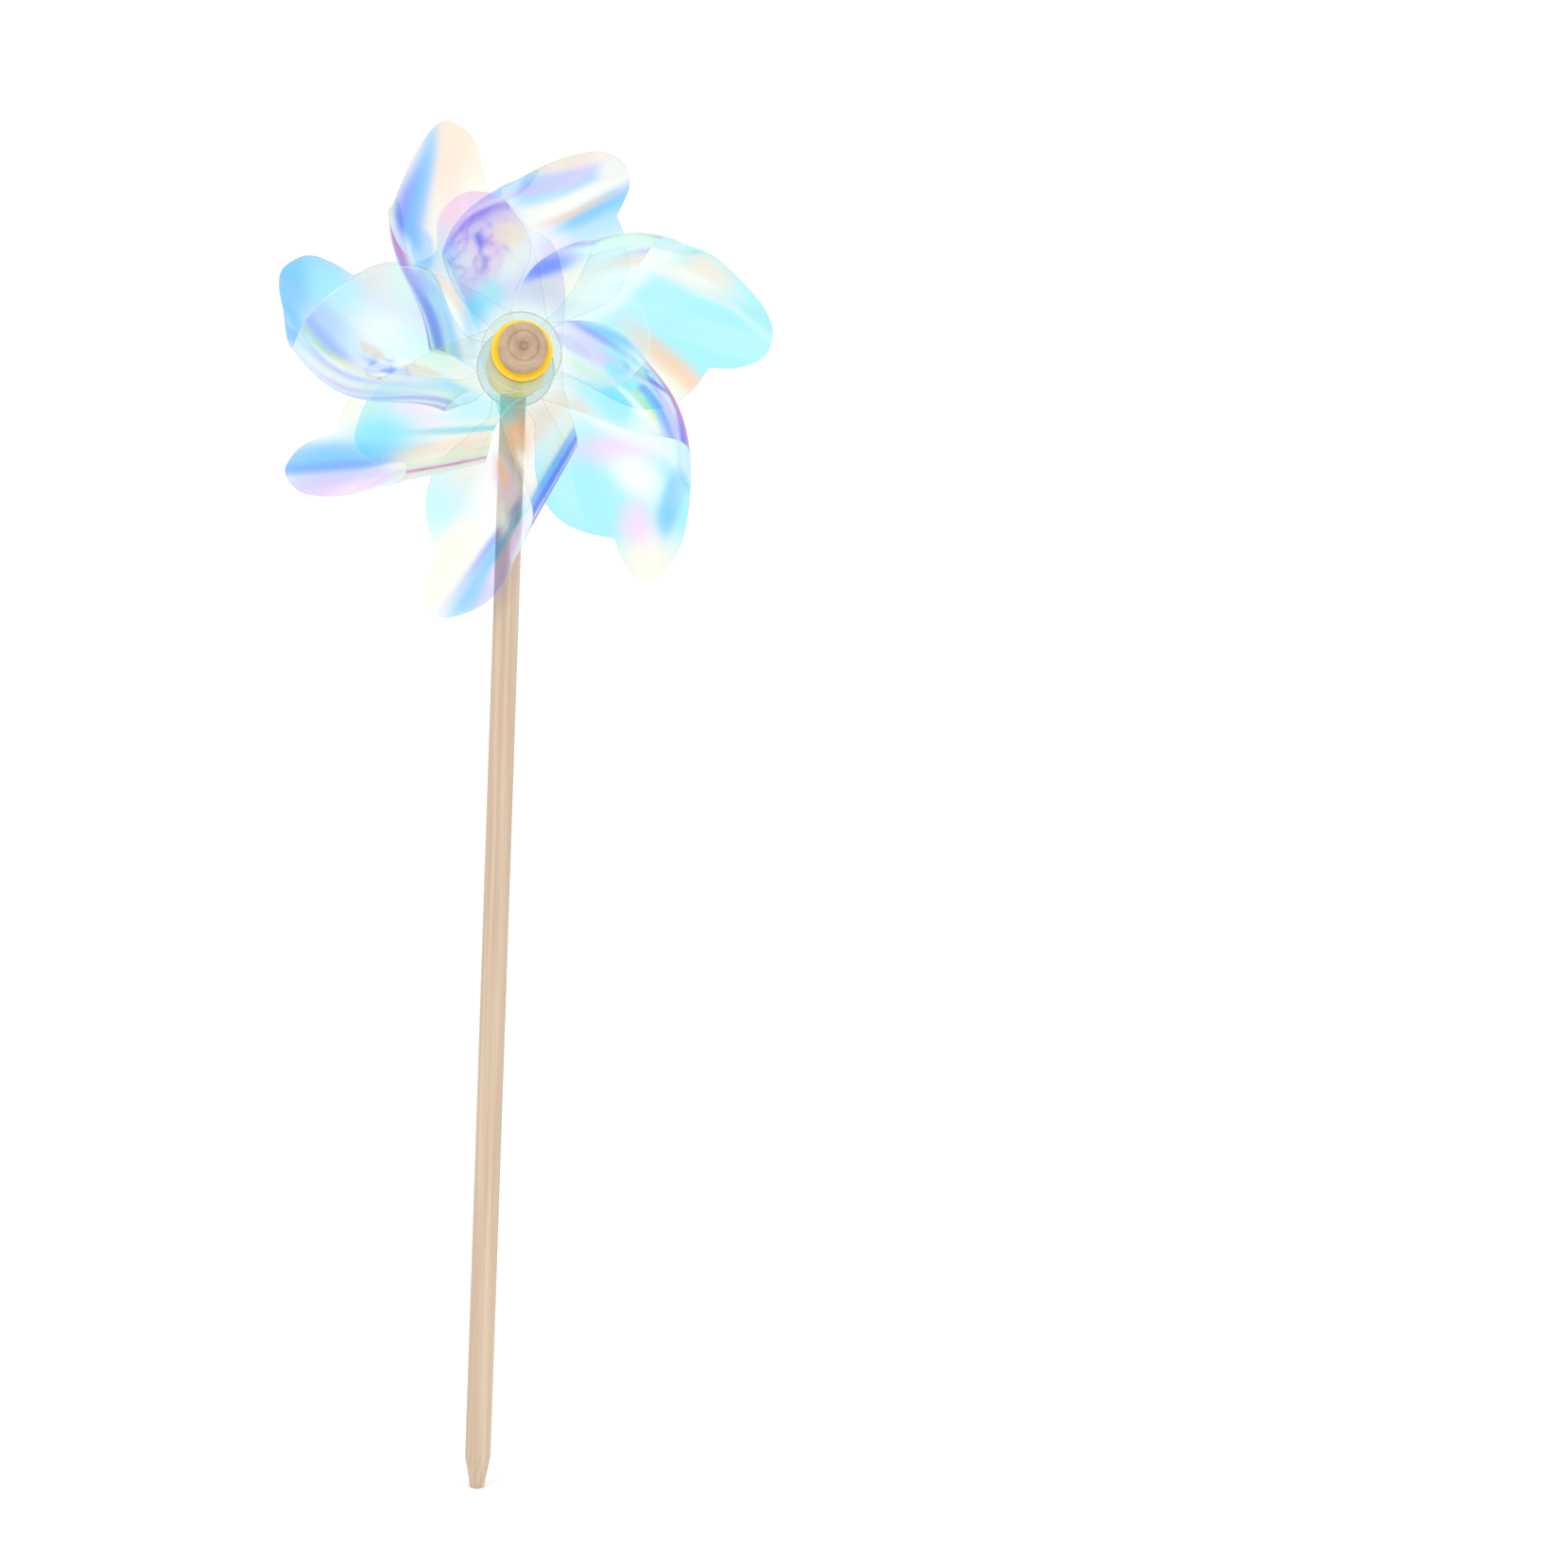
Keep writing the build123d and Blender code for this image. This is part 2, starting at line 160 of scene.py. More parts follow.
# For each blade: ground colours of its rear and front sheets, and soft patches as (v, u, sheet,
# half length, half width, angle from the roll line, colour, weight). The white streaks of half width
# 1.4 or less and the patches marked below are painted highlights; the other patches are the film's own
# colours.
PAINT = [
    ("aqua", "white", [
        (76, 30, "rear", 16, 12, 0, "aqua", 1.5), (56, 30, "rear", 12, 10, 0, "aqua", 1.2),
        # The cream streak at (56, 44) is a painted highlight.
        (56, 44, "rear", 17, 3.0, -8, "cream", 3.0), (66, 46, "rear", 8, 5, -20, "peach", 1.6),
        (46, 51, "front", 7, 2, 5, "lilac", 1.2), (33, 48, "front", 14, 7, 20, "lime", 0.5),
        (58, 10, "rear", 15, 3.2, -34, "orange", 2.6), (57, 3, "rear", 13, 5, -34, "cream", 2.0),
        (70, 40, "rear", 14, 2, -12, "teal", 1.0), (80, 34, "rear", 14, 1.4, -35, "white", 0.8),
        (6, 32, "front", 9, 3.2, 37, "blue", 3.2), (9, 25, "front", 15, 3.8, 42, "cream", 6.0),
        (-3, 14, "front", 8, 6, 40, "white", 1.5), (27, 24, "front", 12, 9, 40, "white", 1.5),
        (24, 41, "front", 12, 4, 20, "white", 4.0), (12, 41, "front", 12, 1.8, 35, "lilac", 1.6),
        (40, 10, "front", 12, 12, 0, "white", 3.0), (13, 20, "front", 12, 3.0, 40, "cream", 1.6),
        (38, 40, "front", 12, 2.0, 10, "peach", 2.0), (44, 44, "front", 12, 1.2, 10, "lilac", 2.0),
    ]),
    ("sky", "pale lilac", [
        (80, 26, "rear", 4, 8, 0, "cream", 3.0), (72, 36, "rear", 16, 2.8, -36, "peach", 2.2),
        (62, 35, "rear", 15, 2.8, -27, "lilac", 2.4), (43, 43, "front", 9, 4, 0, "sky", 1.0),
        # The cream streak at (60, 27) and the thin orange streak beside it are a painted highlight.
        (60, 27, "rear", 20, 2.6, -24, "cream", 5.0), (57, 23.6, "rear", 16, 1.2, -24, "orange", 2.4),
        (64, 19, "rear", 16, 3, -20, "azure", 2.0), (56, 12, "rear", 14, 6, 0, "sky", 1.0),
        (13, 42, "front", 9, 8, 20, "pale lilac", 1.2), (9, 31, "front", 9, 7, 20, "pink", 0.4),
        (21, 45, "front", 9, 1.8, -22, "violet", 2.0), (18, 37, "front", 4, 1.0, 60, "blue", 5.0),
        (13, 30, "front", 3, 0.8, 20, "blue", 4.0), (24, 33, "front", 5, 0.9, 80, "blue", 2.4),
        (30, 31, "rear", 13, 9, -20, "white", 6.0), (44, -2, "rear", 16, 10, 0, "white", 5.0),
        (40, 24, "rear", 12, 4, -60, "pink", 1.2), (4, 27, "front", 5, 3, 0, "pink", 1.5),
        (2, 22, "front", 8, 4.5, 30, "aqua", 4.0), (42, 30, "front", 10, 1.2, -50, "violet", 1.4),
        (27, 26, "front", 9, 5, 10, "white", 2.4), (34, 43, "front", 9, 1.4, -30, "white", 3.0),
    ]),
    ("cream", "white", [
        (82, 15, "rear", 14, 9, 0, "peach", 2.4), (72, 8, "rear", 14, 6, 0, "cream", 1.0),
        (64, 32, "rear", 22, 3.6, -14, "azure", 2.4), (52, 36, "rear", 16, 5, -8, "blue", 1.6),
        (62, 35, "rear", 10, 2.5, -18, "violet", 2.0), (44, 41, "front", 10, 2.5, 0, "magenta", 3.0),
        (36, 31, "front", 12, 4, -11, "sky", 2.0), (62, 11, "rear", 9, 5, 0, "white", 1.4),
        (17, 34, "front", 15, 1.4, 14, "violet", 2.4), (13, 30, "front", 15, 2.6, 14, "blue", 2.4),
        (27, 33, "front", 6, 3, 60, "lilac", 1.6), (23, 24, "front", 10, 2, 42, "peach", 2.0),
        (54, 14, "front", 12, 10, 0, "pink", 4.0), (38, 24, "front", 9, 5, 0, "sky", 0.7),
        (11, 16, "front", 13, 4, 23, "sky", 1.4), (33, 38, "front", 10, 1.8, 12, "lilac", 2.4),
        (2, 24, "front", 12, 4, 20, "sky", 2.0),
        (20, 25, "front", 14, 1.0, 30, "white", 2.5),
    ]),
    ("sky", "white", [
        (84, 20, "rear", 10, 5.5, -74, "azure", 3.0), (76, 10, "rear", 10, 8, 0, "azure", 0.7),
        (80, 27, "rear", 10, 2.5, -35, "azure", 0.8), (61, 0, "rear", 12, 9, 0, "peach", 1.0),
        (50, -4, "rear", 8, 7, 0, "mint", 2.0), (72, 11, "rear", 10, 6, 0, "aqua", 2.0),
        (61, 34, "front", 14, 2.2, -8, "lilac", 2.6),
        # The yellow streak at (52, 38) and the cream streak at (52, 42.5) on the next line are painted
        # highlights.
        (52, 38, "front", 15, 1.2, 0, "yellow", 4.0), (48, 41, "front", 15, 1.3, 6, "lilac", 1.6),
        (44, 43.5, "front", 12, 1.3, 8, "pink", 2.0), (52, 42.5, "front", 10, 1.2, 0, "cream", 4.0),
        (40, 41, "front", 16, 2.4, 4, "white", 2.4), (62, 42, "front", 8, 2.4, 0, "white", 1.6),
        (36, 31.5, "front", 6, 1.4, -10, "blue", 2.4), (38, 35, "front", 12, 0.8, 10, "white", 4.0),
        (26, 29, "front", 6, 3.0, 10, "white", 3.0), (66, 40, "front", 8, 4, -20, "white", 3.0),
        (29, 19, "front", 9, 6, 0, "mint", 1.6), (40, 16, "rear", 14, 9, 0, "white", 1.8),
        (17, 30, "front", 17, 1.2, 14, "lilac", 1.8), (15, 33, "front", 16, 1.0, 18, "pink", 2.4),
        (14, 24, "front", 14, 3.0, 16, "aqua", 1.4), (9, 31, "front", 8, 1.6, 10, "blue", 2.2),
        (58, 16, "front", 14, 13, 0, "white", 4.0), (62, 28, "front", 9, 5, 0, "lilac", 1.2),
        (22, 34, "front", 12, 0.8, 18, "magenta", 1.6),
    ]),
    ("white", "cream", [
        (72, 18, "rear", 19, 4.0, -8, "azure", 3.0), (72, 21.0, "rear", 19, 1.6, -8, "blue", 3.2),
        (77, 27, "rear", 13, 4, 0, "lilac", 2.4), (68, 30, "rear", 14, 2.6, -5, "pink", 2.2),
        (62, 27, "rear", 16, 2.0, -6, "lilac", 2.0), (54, 12, "rear", 9, 7, 0, "aqua", 1.6),
        (60, 2, "rear", 6, 7, 0, "cream", 2.4), (40, 6, "rear", 9, 6, -34, "pink", 0.5),
        (27, 22.5, "front", 15, 0.9, -10, "teal", 3.4), (30, 27.5, "front", 16, 2.4, -7, "peach", 3.2),
        (36, 32.3, "front", 18, 0.6, -5, "magenta", 2.0), (38, 28.5, "front", 14, 2.4, -5, "cream", 3.0),
        (56, 16, "front", 12, 10, 0, "aqua", 2.2), (40, 10, "front", 12, 10, 0, "white", 2.0),
        (20, 15, "front", 12, 4, 0, "aqua", 2.0), (44, 27, "rear", 8, 6, 0, "cream", 5.0),
    ]),
    ("white", "cream", [
        (56, 0, "rear", 12, 8, 0, "aqua", 1.4), (45, 2, "rear", 9, 6, 0, "peach", 0.7),
        (76, 13, "rear", 14, 8, 0, "cream", 2.0), (34, 31.4, "front", 17, 1.8, -2, "blue", 4.0),
        (42, 33.2, "front", 16, 1.0, 0, "violet", 5.0), (30, 29.4, "front", 15, 1.5, -2, "azure", 1.8),
        (30, 23, "front", 14, 3.0, -4, "white", 4.0), (18, 18, "front", 9, 7, 0, "peach", 2.0),
        (62, 26.5, "rear", 18, 2.0, -7, "azure", 3.2), (60, 24, "rear", 18, 1.4, -7, "blue", 1.6),
        (66, 31, "rear", 16, 2.4, -6, "pink", 2.0), (80, 28, "rear", 8, 3.5, -10, "azure", 1.6),
        # The orange streak at (28, 13) and the magenta one at (40, 19) on the next line are painted
        # highlights.
        (74, 34, "rear", 8, 3, 0, "lilac", 1.6), (28, 13, "front", 9, 2.6, 30, "orange", 4.0),
        (40, 19, "front", 9, 3, 40, "magenta", 2.0), (44, 24, "front", 10, 2.0, 20, "peach", 2.0),
        (20, 7, "front", 6, 4.0, 0, "mint", 3.0),
    ]),
    ("aqua", "white", [
        (50, 5, "rear", 14, 11, 0, "aqua", 1.0), (39, 25, "rear", 12, 4, 75, "pink", 1.6),
        (50, 30, "rear", 9, 5, 40, "white", 2.4), (70, 24, "rear", 7, 6, 0, "pink", 1.8),
        (84, 24, "rear", 8, 11, 0, "cream", 5.0), (66, 37, "rear", 9, 3.4, -30, "azure", 1.6),
        (31, 36, "front", 8, 1.2, 8, "yellow", 4.0), (34, 40, "front", 12, 1.8, 8, "azure", 2.0),
        (48, 38, "front", 9, 4, -20, "lilac", 2.2), (36, 48.5, "front", 12, 1.8, 2, "magenta", 3.2),
        (50, 45, "front", 10, 2.0, -8, "violet", 2.0), (61, 42, "rear", 7, 3, -50, "sky", 2.0),
        (2, 30, "front", 12, 1.6, 60, "azure", 1.4), (8, 25, "front", 12, 3.0, 42, "pink", 5.0),
        (2, 27, "front", 12, 1.2, 50, "violet", 2.4), (14, 34, "front", 9, 4, 40, "aqua", 1.4),
        (10, 17, "front", 9, 1.2, 42, "lime", 3.0), (17, 24, "front", 8, 3, 60, "cream", 2.6),
        (29, 12, "front", 6, 4, 0, "peach", 2.0), (22, 40, "front", 6, 0.9, 46, "violet", 4.0),
        # The white streak at (28, 32) is a painted highlight.
        (28, 32, "front", 14, 1.4, 20, "white", 2.6), (42, 41.5, "front", 12, 0.9, 5, "violet", 2.4),
        (38, 44.5, "front", 14, 1.0, 4, "pink", 2.4), (24, 22, "front", 10, 5, 30, "aqua", 1.4),
    ]),
]

# Crisp-edged areas where the film is bent sharply or doubled: (blade number, v, u, sheet,
# half length, half width, angle from the roll line, colour, opacity).
PANES = [
    (2, 27, 32, "front", 6.5, 4.5, -57, "cream", 1.0),
    (2, 16, 30, "front", 8, 5, 20, "pink", 0.5),
    (4, 43, 29, "front", 5.5, 2.2, -8, "peach", 0.9),
    (4, 25, 25, "front", 7, 3.2, 2, "peach", 0.7),
    (7, 19, 31, "front", 7, 4.5, 42, "aqua", 0.85),
    (7, 27, 26, "front", 7, 5.5, 10, "aqua", 0.5),
    (7, 3, 18, "front", 8, 2.6, 45, "lilac", 0.6),
    (3, 47, 38, "front", 11, 2.2, -10, "magenta", 0.5),
    (3, 44, 31, "rear", 8, 5, -14, "azure", 0.5),
]

# Painted highlights: soft areas where the film is tinted towards the highlight's colour and made to reflect
# more, as PANES, with the share of the film that reflects there.
PAINTED_HIGHLIGHTS = [
    (6, 26, 12, "front", 8, 3.2, 55, "orange", 0.40),
    (6, 33, 19, "front", 5, 2.0, 55, "cream", 0.5),
    (6, 21, 5, "front", 6, 4.0, 0, "aqua", 0.15),
    (6, 38, 17, "rear", 7, 3.6, 48, "pink", 0.6),
    (6, 50, 23, "rear", 8, 3.4, 48, "white", 0.3),
    (6, 36, 15, "rear", 6, 1.6, 48, "orange", 0.6),
    (2, 60, 27, "rear", 16, 1.2, -24, "white", 0.4),
    (1, 58, 44.5, "rear", 12, 1.2, -8, "white", 0.4),
    (4, 52, 39.5, "front", 14, 0.6, 0, "white", 0.5),
    (7, 28, 32, "front", 12, 0.8, 20, "white", 0.5),
]

# Crumpled areas of the front sheets: (blade number, v, u, radius, depth).
CRUMPLES = [(2, 14, 37, 11, 1.6), (4, 35, 31, 8, 1.2), (7, 21, 38, 9, 1.4)]
CRUMPLE_END = 1.6           # times the radius, where a crumpled area has faded out
CREASE_SPACING = 6.0
CREASE_TINT = 0.5           # how violet the creases are
FACET_TINT = 0.6            # how clear the facets between them are


def smooth(low, high, value):
    """0 below low, 1 above high, with a soft step between."""
    t = min(max((value - low) / (high - low), 0.0), 1.0)
    return t * t * (3.0 - 2.0 * t)


class Sheet:
    """A blade's film. v runs along the roll line and w across it, from the rear tab to the front tab.

    u is the distance from the axle square to the roll line, as seen along the axle.
    """

    def __init__(self, blade, index):
        self.blade = blade
        self.index = index
        self.rear_y = TUBE_BACK + (index + 0.5) * FILM_PITCH
        self.front_y = FRONT_COLLAR_BACK + (index + 0.5) * FILM_PITCH
        self.reach = blade["reach"]
        self.width = ROLL_SHARE * self.reach
        self.bend = self.reach - self.width
        self.slope = math.tan(math.radians(LEAN_FORWARD))
        self.lean = math.tan(math.radians(LEAN_BACK))
        self.roll_start = self.rear_y - max(self.bend - ARM_REACH, 0.0) * self.slope
        self.depth = (self.roll_start - self.front_y) / 2.0
        spread = (self.width - self.depth) ** 2 / (self.width + self.depth) ** 2
        self.quarter = math.pi / 4.0 * (self.width + self.depth) * (1.0 + spread / 4.0)
        self.crest = self.bend + self.quarter
        self.total = 2.0 * self.crest
        self.patches = []
        for *place, colour, weight in PAINT[index][2]:
            self.patches.append((self.place(*place), COLOURS[colour], weight))
        self.crumples = [
            (v, self.front_w(v, u), radius, depth)
            for number, v, u, radius, depth in CRUMPLES if number == index + 1
        ]
        # Painted highlights of this blade.
        self.painted_highlights = []
        for number, *place, colour, cover in PAINTED_HIGHLIGHTS:
            if number == index + 1:
                self.painted_highlights.append((self.place(*place), COLOURS[colour], cover))
        self.panes = []
        for number, *place, colour, opacity in PANES:
            if number == index + 1:
                self.panes.append((self.place(*place), COLOURS[colour], opacity))

    def curl(self, v):
        """1 where the film is rolled over, fading to 0 towards the flat outer lobe."""
        far = self.blade["far"]
        return 1.0 - smooth(far - FLATTEN_BEFORE, far + FLATTEN_LENGTH, v)

    def section(self, v, w):
        """(u, y) of the film before it leans back."""
        if w > self.total - self.bend:
            u, y = self.total - w, self.front_y
        elif w < self.bend:
            u, y = w, self.rear_y - max(w - ARM_REACH, 0.0) * self.slope
        else:
            turn = (w - self.bend) / self.quarter * math.pi / 2.0
            curl = self.curl(v) if w < self.crest else 1.0
            rolled_u = self.bend + self.width * math.sin(turn)
            rolled_y = self.roll_start - self.depth * (1.0 - math.cos(turn))
            flat_y = self.roll_start - (w - self.bend) * self.slope
            u = curl * rolled_u + (1.0 - curl) * w
            y = curl * rolled_y + (1.0 - curl) * flat_y
        return u - self.fall(v) * smooth(FALL_START, self.reach, u), y

    def fall(self, v):
        """How far the crest of the roll has dropped at v."""
        away = max(v, self.blade["near"]) - self.blade["middle"]
        rate = self.blade["near_fall"] if away < 0.0 else self.blade["far_fall"]
        return rate * FALL_LIMIT * math.tanh((away / FALL_LENGTH) ** 2 / FALL_LIMIT)

    def point(self, v, w):
        """Place in the CAD's frame, in metres."""
        u, y = self.section(v, w)
        share, fold, depth = self.crumple(v, w)
        y += share * fold * depth
        y += max(v - ARM_REACH, 0.0) * self.lean
        turn = math.radians(self.blade["angle"] + ROLL_ANGLE)
        x = v * math.cos(turn) - u * math.sin(turn)
        z = AXLE_Z + v * math.sin(turn) + u * math.cos(turn)
        return Vector((x * MM, y * MM, z * MM))

    def crumple(self, v, w):
        """How crumpled the film is at (v, w), from 0 to 1, how far from a crease, and the depth."""
        for centre_v, centre_w, radius, depth in self.crumples:
            away = math.hypot(v - centre_v, w - centre_w) / radius
            if away < CRUMPLE_END:
                spot = Vector((v / CREASE_SPACING, w / CREASE_SPACING, 3.1 * self.index))
                return math.exp(-away ** 4), min(3.0 * abs(noise.noise(spot)), 1.0), depth
        return 0.0, 0.0, 0.0

    def under_front(self, v, w):
        """1 where the rear sheet lies behind the blade's own front sheet, 0 beyond its tail edge."""
        tail = self.blade["far"] * max(w / self.crest * 1.25, 0.0) ** 0.7
        return smooth(-3.0, 6.0, tail - v)

    def rear_w(self, v, u):
        """w of the rear sheet's point that is seen at (v, u)."""
        return self.find_w(v, u, self.crest, -SEARCH_MARGIN)

    def front_w(self, v, u):
        """w of the front sheet's point that is seen at (v, u)."""
        return self.find_w(v, u, self.crest, self.total + SEARCH_MARGIN)

    def find_w(self, v, u, above, below):
        """The w, between one whose u is too large and one whose u is too small, that gives this u."""
        for _ in range(SEARCH_STEPS):
            middle = (above + below) / 2.0
            if self.section(v, middle)[0] > u:
                above = middle
            else:
                below = middle
        return (above + below) / 2.0

    def place(self, v, u, sheet, length, width, angle):
        """A patch's centre, half sizes and direction in (v, w)."""
        w = self.rear_w(v, u) if sheet == "rear" else self.front_w(v, u)
        turn = math.radians(angle if sheet == "rear" else -angle)
        return v, w, length, width, math.cos(turn), math.sin(turn)

    def outline(self):
        """The cut edge of the whole film in (v, w), as one closed loop."""
        b = self.blade
        rear_near = (0.31 * TAB_R, 0.95 * TAB_R)
        rear_far = (0.99 * TAB_R, -0.14 * TAB_R)
        front_near = (-0.5 * TAB_R, 0.86 * TAB_R)
        front_far = (0.7 * TAB_R, -0.71 * TAB_R)
        hip_u = HIP_SHARE * (self.reach - self.fall(b["near"]))
        near_edge = [
            rear_near,
            (b["rear_hip"], self.rear_w(b["rear_hip"], hip_u)),
            (b["near"], self.crest),
            (b["front_hip"], self.front_w(b["front_hip"], hip_u)),
            (front_near[0], self.total - front_near[1]),
        ]
        outer_edge = [
            (front_far[0], self.total - front_far[1]),
            *[(v, self.front_w(v, u)) for v, u in b["tail"]],
            (b["far"], self.crest),
            *self.on_rear(b["outer"]),
        ]
        notch_v, notch_u = b["outer"][-1]
        end_v, end_u = b["inner"]
        inner = [
            (notch_v, notch_u),
            ((notch_v + end_v) / 2.0 + INNER_BULGE, (notch_u + end_u) / 2.0),
            (end_v, end_u),
            (end_v - 11.0, end_u - 4.0),
            (27.0, -2.0),
            (20.0, 0.0),
        ]
        inner_edge = [*self.on_rear(inner), rear_far]
        curves = [
            spline(near_edge),
            arc_between(near_edge[-1], outer_edge[0], (0.0, self.total), TAB_R),
            spline(outer_edge),
            spline(inner_edge),
            arc_between(rear_far, rear_near, (0.0, 0.0), TAB_R),
        ]
        loop = [p for curve in curves for p in curve[:-1]]
        return resample(loop, EDGE_STEP)

    def on_rear(self, points):
        """The (v, w) of points of the rear sheet given as (v, u)."""
        return [(v, self.rear_w(v, u)) for v, u in points]


def arc_between(start, end, centre, radius):
    """Points clockwise round the centre from start to end."""
    a = math.atan2(start[1] - centre[1], start[0] - centre[0])
    b = math.atan2(end[1] - centre[1], end[0] - centre[0])
    if b > a:
        b -= 2.0 * math.pi
    angles = [a + (b - a) * i / ARC_POINTS for i in range(ARC_POINTS + 1)]
    return [(centre[0] + radius * math.cos(t), centre[1] + radius * math.sin(t)) for t in angles]


def spline(points, steps=14):
    """A smooth curve through the points, with chord-length Catmull-Rom tangents."""
    knots = [Vector(p) for p in points]
    knots = [2.0 * knots[0] - knots[1], *knots, 2.0 * knots[-1] - knots[-2]]
    curve = []
    for before, start, end, after in zip(knots, knots[1:], knots[2:], knots[3:]):
        d0, d1, d2 = (start - before).length, (end - start).length, (after - end).length
        chord = (end - start) / d1
        leave = (start - before) / d0 - (end - before) / (d0 + d1) + chord
        arrive = chord - (after - start) / (d1 + d2) + (after - end) / d2
        for i in range(steps):
            t = i / steps
            curve.append(tuple(
                start * (2 * t**3 - 3 * t**2 + 1)
                + leave * d1 * (t**3 - 2 * t**2 + t)
                + end * (3 * t**2 - 2 * t**3)
                + arrive * d1 * (t**3 - t**2)
            ))
    curve.append(tuple(points[-1]))
    return curve


def resample(loop, step):
    """The closed loop with its points evenly spaced."""
    closed = loop + [loop[0]]
    lengths = [math.dist(a, b) for a, b in zip(closed, closed[1:])]
    count = int(sum(lengths) / step)
    spacing = sum(lengths) / count
    result, travelled, index = [], 0.0, 0
    for i in range(count):
        target = i * spacing
        while travelled + lengths[index] < target:
            travelled += lengths[index]
            index += 1
        f = (target - travelled) / max(lengths[index], 1e-9)
        a, b = closed[index], closed[index + 1]
        result.append((a[0] + (b[0] - a[0]) * f, a[1] + (b[1] - a[1]) * f))
    return result


def inside(points, loop):
    """Which of an array of points lie inside the loop."""
    odd = np.zeros(len(points), dtype=bool)
    for (x0, y0), (x1, y1) in zip(loop, loop[1:] + loop[:1]):
        if y0 != y1:
            crosses = (y0 > points[:, 1]) != (y1 > points[:, 1])
            odd ^= crosses & (points[:, 0] < (x1 - x0) * (points[:, 1] - y0) / (y1 - y0) + x0)
    return odd


def inset(loop, amount):
    """The closed loop moved inwards."""
    area = sum(a[0] * b[1] - b[0] * a[1] for a, b in zip(loop, loop[1:] + loop[:1]))
    side = 1.0 if area > 0 else -1.0
    moved = []
    for before, here, after in zip(loop[-1:] + loop[:-1], loop, loop[1:] + loop[:1]):
        along = Vector((after[0] - before[0], after[1] - before[1])).normalized()
        moved.append((here[0] - side * along.y * amount, here[1] + side * along.x * amount))
    return moved


def circle(centre, radius, count):
    angles = [2.0 * math.pi * i / count for i in range(count)]
    return [(centre[0] + radius * math.cos(t), centre[1] + radius * math.sin(t)) for t in angles]


def grid_points(loop, holes):
    """Points on a triangular grid inside the loop, clear of it and of the holes."""
    corners = np.array(loop)
    low, high = corners.min(axis=0), corners.max(axis=0)
    row_step = GRID * math.sqrt(0.75)
    rows = int((high[1] - low[1]) / row_step)
    columns = int((high[0] - low[0]) / GRID)
    points = np.array([
        (low[0] + (column + 0.5 * (row % 2)) * GRID, low[1] + row * row_step)
        for row in range(1, rows)
        for column in range(columns + 1)
    ])
    points = points[inside(points, loop)]
    tree = kdtree.KDTree(len(loop))
    for i, p in enumerate(loop):
        tree.insert((p[0], p[1], 0.0), i)
    tree.balance()
    keep = []
    for x, y in points:
        clear = all(math.dist((x, y), centre) > TAB_HOLE_R + 0.5 * GRID for centre in holes)
        if clear and tree.find((x, y, 0.0))[2] > 0.6 * GRID:
            keep.append((float(x), float(y)))
    return keep


def distance_squared(place, v, w):
    """How far (v, w) is from a patch's centre, in half sizes of the patch, squared."""
    centre_v, centre_w, length, width, along_v, along_w = place
    dv, dw = v - centre_v, w - centre_w
    return ((dv * along_v + dw * along_w) / length) ** 2 + ((dw * along_v - dv * along_w) / width) ** 2


def blend_tints(first, second, share):
    return [a + (b - a) * share for a, b in zip(first, second)]


def paint(sheet, v, w):
    """Tint and cover of the film at (v, w).

    Patches over the ground colours come first, then clear areas, crisp panes, creases and painted
    highlights.
    """
    rear_ground, front_ground, _ = PAINT[sheet.index]
    over = smooth(sheet.crest - BLEND_OVER, sheet.crest + BLEND_OVER, w)
    ground = blend_tints(COLOURS[rear_ground], COLOURS[front_ground], over)
    total = GROUND_WEIGHT
    mixed = [GROUND_WEIGHT * c for c in ground]
    # The patches include painted highlights as well as the film's own colours.
    for place, colour, weight in sheet.patches:
        amount = weight * math.exp(-distance_squared(place, v, w))
        total += amount
        mixed = [m + amount * c for m, c in zip(mixed, colour)]
    tint = [m / total for m in mixed]
    from_rear_tab = math.hypot(v, w)
    from_front_tab = math.hypot(v, sheet.total - w)
    near_rear_tab = 1.0 - smooth(*REAR_CLEAR, from_rear_tab)
    near_front_tab = 1.0 - smooth(*FRONT_CLEAR, from_front_tab)
    hidden = (1.0 - over) * sheet.under_front(v, w)
    clear = max(near_rear_tab, near_front_tab, HIDDEN_CLEARNESS * hidden)
    tint = blend_tints(tint, COLOURS["white"], CLEARNESS * clear)
    for place, colour, opacity in sheet.panes:
        tint = blend_tints(tint, colour, opacity * math.exp(-distance_squared(place, v, w) ** 6))
    share, fold, _ = sheet.crumple(v, w)
    tint = blend_tints(tint, COLOURS["violet"], CREASE_TINT * share * (1.0 - smooth(0.0, 0.35, fold)))
    tint = blend_tints(tint, COLOURS["white"], FACET_TINT * share * smooth(0.55, 1.0, fold))
    tabs = 1.0 - smooth(*TAB_FADE, min(from_rear_tab, from_front_tab))
    cover = BODY_COVER + (TAB_COVER - BODY_COVER) * tabs
    # Painted highlights: the film is tinted towards each one's colour and its reflecting share raised.
    for place, colour, most in sheet.painted_highlights:
        share = math.exp(-distance_squared(place, v, w))
        tint = blend_tints(tint, colour, share)
        cover += (most - cover) * share
    return (*tint, cover)


